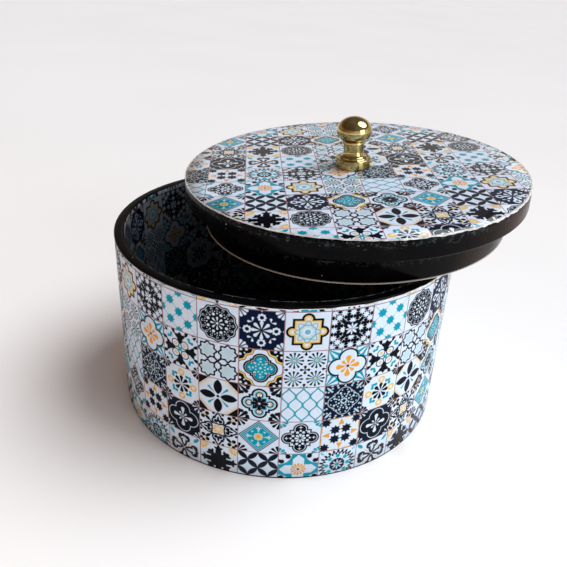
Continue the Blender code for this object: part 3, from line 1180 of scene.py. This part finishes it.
def make_knob(place, brass):
    """The knob, standing where the frame has it."""
    back = place.inverted()
    points = [back @ v.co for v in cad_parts["brass_knob"].data.vertices]
    lows, highs = ([pick(p[axis] for p in points) for axis in range(3)] for pick in (min, max))
    centre = [(low + high) / 2 for low, high in zip(lows[:2], highs)]
    seat = place @ Matrix.Translation((*centre, lows[2]))
    finished("turned_knob", lathe(knob_profile(highs[2] - lows[2]), 128, seat, closed=False), [brass], "lid",
             ("brass_knob",), 24.0)


# -------------------------------- studio

AIM = Vector((0.0, 0.0, 0.06))
SUN_RAYS = Vector((-0.65, -0.1, -1.0))
SUN_STRENGTH = 2.6
SUN_WIDTH = math.radians(42.0)

# Each area light: its name, place, size in metres, power in watts, colour, and whether it shows in gloss
AREA_LIGHTS = (
    ("key", (0.8, -0.62, 0.34), (0.5, 0.6), 3.6, (0.94, 0.98, 1.0), True),
    ("front", (0.4, -1.05, 0.35), (0.7, 0.5), 1.5, (0.95, 0.97, 1.0), False),
    ("warm", (-0.85, -0.3, 0.3), (0.5, 0.5), 0.9, (1.0, 0.42, 0.14), False),
)

CAMERA_PLACE = (0.0003, -0.3114, 0.2272)
CAMERA_PITCH = math.radians(28.35)
CAMERA_ROLL = math.radians(2.77)
SENSOR, LENS = 36.0, 39.51      # millimetres


def make_floor():
    """A plain pale floor."""
    bpy.ops.mesh.primitive_plane_add(size=24.0)
    floor = bpy.context.object
    floor.name = "studio_floor"
    material, tree, shader = new_material("studio_floor")
    cloud = remapped(noise(tree, 3.0), 0.3, 0.7)
    tint = mixed(tree, cloud, (0.93, 0.93, 0.93, 1), (0.96, 0.96, 0.96, 1))
    set_inputs(shader, {"Base Color": tint, "Roughness": 0.9, "Specular IOR Level": 0.1})
    floor.data.materials.append(material)


def make_world():
    """A room that is pale low down and dark above, and warmer and darker on the left."""
    world = bpy.data.worlds.new("studio_world")
    world.use_nodes = True
    tree = world.node_tree
    place = add_node(tree, "TexCoord", {})
    across, _, up = add_node(tree, "SeparateXYZ", {0: place.outputs["Generated"]}).outputs
    warmth = remapped(across, -0.8, 0.35)
    band = mixed(tree, warmth, srgb(158, 134, 114), srgb(232, 224, 208))
    upper = mixed(tree, warmth, srgb(92, 76, 64), srgb(124, 122, 130))
    room = mixed(tree, remapped(up, 0.33, 0.39), band, upper)
    set_inputs(tree.nodes["Background"], {"Color": room, "Strength": 0.95})
    bpy.context.scene.world = world


def shine(lamp, direction):
    lamp.rotation_euler = direction.to_track_quat("-Z", "Y").to_euler()


def make_lights():
    """A wide soft sun from above, and the area lights, aimed at the box."""
    sun = bpy.data.lights.new("sky_panel", "SUN")
    sun.energy = SUN_STRENGTH
    sun.angle = SUN_WIDTH
    sun.color = (0.97, 0.98, 1.0)
    shine(linked("sky_panel", sun), SUN_RAYS)
    for name, place, size, power, colour, glossy in AREA_LIGHTS:
        light = bpy.data.lights.new(name, "AREA")
        light.shape = "RECTANGLE"
        light.size, light.size_y = size
        light.energy = power
        light.color = colour
        lamp = linked(name, light)
        lamp.location = place
        lamp.visible_glossy = glossy
        shine(lamp, AIM - Vector(place))


def make_camera():
    """The camera, by its place, pitch, roll and lens."""
    data = bpy.data.cameras.new("main_camera")
    data.sensor_width = SENSOR
    data.lens = LENS
    data.clip_start = 0.01
    camera = linked("main_camera", data)
    level = Matrix.Rotation(math.pi / 2 - CAMERA_PITCH, 4, "X")
    camera.matrix_world = Matrix.Translation(CAMERA_PLACE) @ level @ Matrix.Rotation(CAMERA_ROLL, 4, "Z")
    bpy.context.scene.camera = camera


# -------------------------------- the whole object

def main():
    bpy.context.scene.view_settings.view_transform = "Standard"
    make_floor()
    make_world()
    make_lights()
    make_camera()
    # The liner's prints are painted dark, as painted shade inside the box; the floor's print takes them too
    liner_prints_painted_dark = make_print_materials("liner")
    rim_lacquer = make_lacquer("black_lacquer", False)
    # The lid's boards: scuffed lacquer with a brown painted reflection on one side
    side_lacquer = make_lacquer("scuffed_lacquer_painted_reflection", True)
    edge_paper = make_paper("worn_edge_paper", 380.0, srgb(234, 235, 236), srgb(158, 154, 154))
    lining_paper = make_paper("lining_paper", 55.0, srgb(228, 224, 216), srgb(206, 199, 188))
    brass = make_brass()
    zinc = make_zinc()
    for node, material in (("box_floor", make_bare_board()), ("knob_screw", zinc), ("knob_washer", zinc)):
        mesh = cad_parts[node].data
        mesh.materials.clear()
        mesh.materials.append(material)
    make_wall_prints(make_print_materials("wrap"), liner_prints_painted_dark, rim_lacquer)
    make_rim_wall(rim_lacquer)
    make_wrap_edge(edge_paper)
    lid, lid_radius = lid_axes()
    make_lid_boards(lid, side_lacquer, lining_paper)
    make_worn_edge(lid, lid_radius, edge_paper)
    make_knob(lid, brass)
    printed_disc("lid_print", "lid", "lid_print_disc", lid, lid_radius, LID_SHEET, LID_GRID,
                 make_print_materials("lid"))
    box_floor = Matrix.Translation((0, 0, FLOOR_HIGH.z))
    printed_disc("floor_print", "box", "floor_liner", box_floor, FLOOR_HIGH.x, FLOOR_SHEET,
                 FLOOR_GRID, liner_prints_painted_dark)


main()
